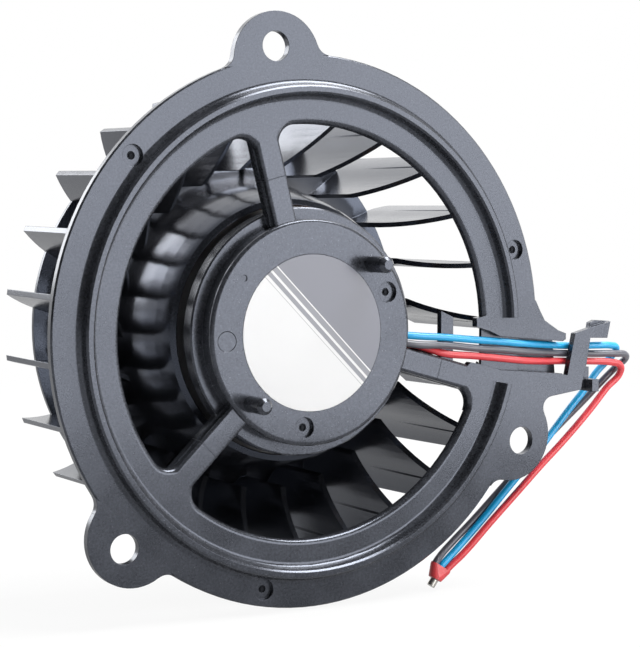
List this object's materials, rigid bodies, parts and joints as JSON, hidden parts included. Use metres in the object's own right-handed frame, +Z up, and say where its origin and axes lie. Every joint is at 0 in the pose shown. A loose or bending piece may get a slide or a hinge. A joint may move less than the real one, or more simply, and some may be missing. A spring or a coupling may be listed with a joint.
{
  "type": "dc blower fan",
  "caption": "Backward-curved centrifugal fan: a spoked round flange carries an external-rotor motor inside an open bladed impeller, with wires led out through a cable guide.",
  "frame": {"origin": "the fan's axis in the plane of the flange's front face", "axes": "+Z up as pictured, -Y along the axis towards the inlet side, +X to the cable guide"},
  "size_m": [0.1882, 0.0646, 0.1609],
  "materials": {
    "bracket_plastic": "matte moulded, fine speckle",
    "impeller_plastic": "satin moulded",
    "disc_foil": "satin foil",
    "tube_brass": "turned",
    "board_resin": "solder resist",
    "capacitor_can": "satin",
    "chip_resin": "matte",
    "core_steel": "stamped stack",
    "insulator_nylon": "matte",
    "coil_copper": "enamelled wire",
    "bearing_steel": "ground",
    "spring_steel": "satin",
    "shaft_steel": "ground",
    "boss_zinc": "die-cast",
    "cup_steel": "drawn, zinc plated",
    "magnet_ferrite": "matte",
    "wire_blue": "satin insulation",
    "wire_black": "satin insulation",
    "wire_red": "satin insulation",
    "sleeve_red": "shrunk sleeve",
    "ferrule_tin": "tinned"
  },
  "bodies": {
    "stator": {"bracket": "bracket_plastic", "hub_disc": "disc_foil", "bearing_tube": "tube_brass", "circuit_board": "board_resin", "capacitor": "capacitor_can", "driver_chip_a": "chip_resin", "driver_chip_b": "chip_resin", "hall_sensors": "chip_resin", "stator_core": "core_steel", "insulator_front": "insulator_nylon", "insulator_rear": "insulator_nylon", "coil_1": "coil_copper", "coil_2": "coil_copper", "coil_3": "coil_copper", "coil_4": "coil_copper", "coil_5": "coil_copper", "coil_6": "coil_copper", "coil_7": "coil_copper", "coil_8": "coil_copper", "coil_9": "coil_copper", "front_bearing_outer": "bearing_steel", "front_bearing_balls": "bearing_steel", "rear_bearing_outer": "bearing_steel", "rear_bearing_balls": "bearing_steel", "preload_spring": "spring_steel", "wire_blue": "wire_blue", "wire_black": "wire_black", "wire_red": "wire_red", "end_sleeve": "sleeve_red", "end_ferrule": "ferrule_tin"},
    "rotor": {"impeller": "impeller_plastic", "rotor_cup": "cup_steel", "magnet_ring": "magnet_ferrite", "rotor_boss": "boss_zinc", "shaft": "shaft_steel", "retaining_ring": "spring_steel", "front_bearing_inner": "bearing_steel", "rear_bearing_inner": "bearing_steel"}
  },
  "joints": [
    {"name": "rotor_spin", "type": "hinge", "parent": "stator", "child": "rotor", "pos_m": [0, 0, 0], "axis": [0, 1, 0], "continuous": true}
  ]
}
